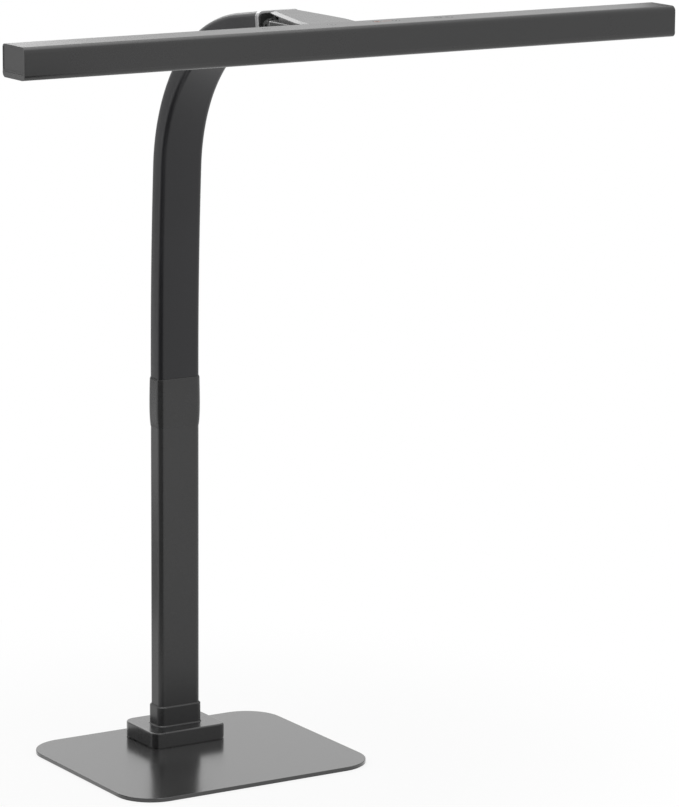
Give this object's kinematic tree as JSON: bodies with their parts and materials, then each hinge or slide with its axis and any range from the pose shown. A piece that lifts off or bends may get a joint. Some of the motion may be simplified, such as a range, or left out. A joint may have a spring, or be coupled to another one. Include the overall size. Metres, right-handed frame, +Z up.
{
  "type": "piano lamp",
  "caption": "Piano lamp with a flat base plate, an upright post, a flat bending neck and a long tilting light bar with touch controls.",
  "frame": {"origin": "centre of the base plate's footprint, on the underside of its foam pad", "axes": "+Z up, +X along the light bar to the right as seen from the front, -Y towards the front, where the bar is"},
  "size_m": [0.6, 0.3449, 0.6535],
  "materials": {
    "plate_paint": "fine textured powder coat",
    "foam": "closed-cell foam",
    "dark_plastic": "fine matt moulding",
    "post_paint": "satin dark grey",
    "collar_paint": "satin dark grey",
    "bar_paint": "satin dark grey anodised",
    "silicone": "matt silicone",
    "steel": "zinc plated",
    "black_steel": "black oxide",
    "bright_ring": "satin nickel",
    "cast": "die cast",
    "brass": "turned",
    "cable": "PVC sheath",
    "diffuser": "milky acrylic",
    "board_white": "white solder mask",
    "board_green": "green solder mask",
    "led": "phosphor",
    "chip": "epoxy",
    "white_plastic": "nylon",
    "coil": "ferrite",
    "washer": "acetal",
    "key": "smoked"
  },
  "bodies": {
    "stand": {"base_pad": "foam", "base_plate": "plate_paint", "base_screws": "black_steel", "foot_block": "dark_plastic", "power_socket": "dark_plastic", "socket_contact": "brass", "post_anchor": "cast", "anchor_bolts": "black_steel", "post_tube": "post_paint", "foot_collar": "collar_paint", "coupler": "cast", "mid_collar": "collar_paint", "collar_screws": "black_steel", "supply_cable": "cable", "neck_sleeve_1": "silicone", "neck_hoses_1": "steel"},
    "neck_1": {"neck_sleeve_2": "silicone", "neck_hoses_2": "steel", "neck_cable_2": "cable"},
    "neck_2": {"neck_sleeve_3": "silicone", "neck_hoses_3": "steel", "neck_cable_3": "cable"},
    "neck_3": {"neck_sleeve_4": "silicone", "neck_hoses_4": "steel", "neck_cable_4": "cable"},
    "neck_4": {"neck_sleeve_5": "silicone", "neck_hoses_5": "steel", "neck_cable_5": "cable", "tip_ring": "bright_ring", "tip_fitting": "cast"},
    "head": {"hinge_screws": "black_steel", "friction_washers": "washer", "hinge_bracket": "cast", "bracket_screws": "steel", "nut_plates": "steel", "lower_cover": "dark_plastic", "upper_cover": "dark_plastic", "cover_screws": "black_steel", "bar_housing": "bar_paint", "bottom_frame": "dark_plastic", "diffuser": "diffuser", "end_cap_left": "dark_plastic", "end_cap_right": "dark_plastic", "touch_keys": "key", "touch_board": "board_green", "led_board": "board_white", "led_chips": "led", "driver_board": "board_green", "driver_connector": "white_plastic", "driver_coils": "coil", "driver_chips": "chip", "head_cable": "cable"}
  },
  "joints": [
    {"name": "neck_bend_1", "type": "hinge", "parent": "stand", "child": "neck_1", "pos_m": [0.0072, 0.05558, 0.3823], "axis": [1, 0, 0], "range_deg": [-20, 20]},
    {"name": "neck_bend_2", "type": "hinge", "parent": "neck_1", "child": "neck_2", "pos_m": [0.0072, 0.05225, 0.48224], "axis": [1, 0, 0], "range_deg": [-20, 20]},
    {"name": "neck_bend_3", "type": "hinge", "parent": "neck_2", "child": "neck_3", "pos_m": [0.0072, 0.026, 0.57699], "axis": [1, 0, 0], "range_deg": [-20, 20]},
    {"name": "neck_bend_4", "type": "hinge", "parent": "neck_3", "child": "neck_4", "pos_m": [0.0072, -0.05464, 0.63262], "axis": [1, 0, 0], "range_deg": [-20, 20]},
    {"name": "head_tilt", "type": "hinge", "parent": "neck_4", "child": "head", "pos_m": [0.0072, -0.12543, 0.64186], "axis": [1, 0, 0], "range_deg": [-25, 75]}
  ]
}
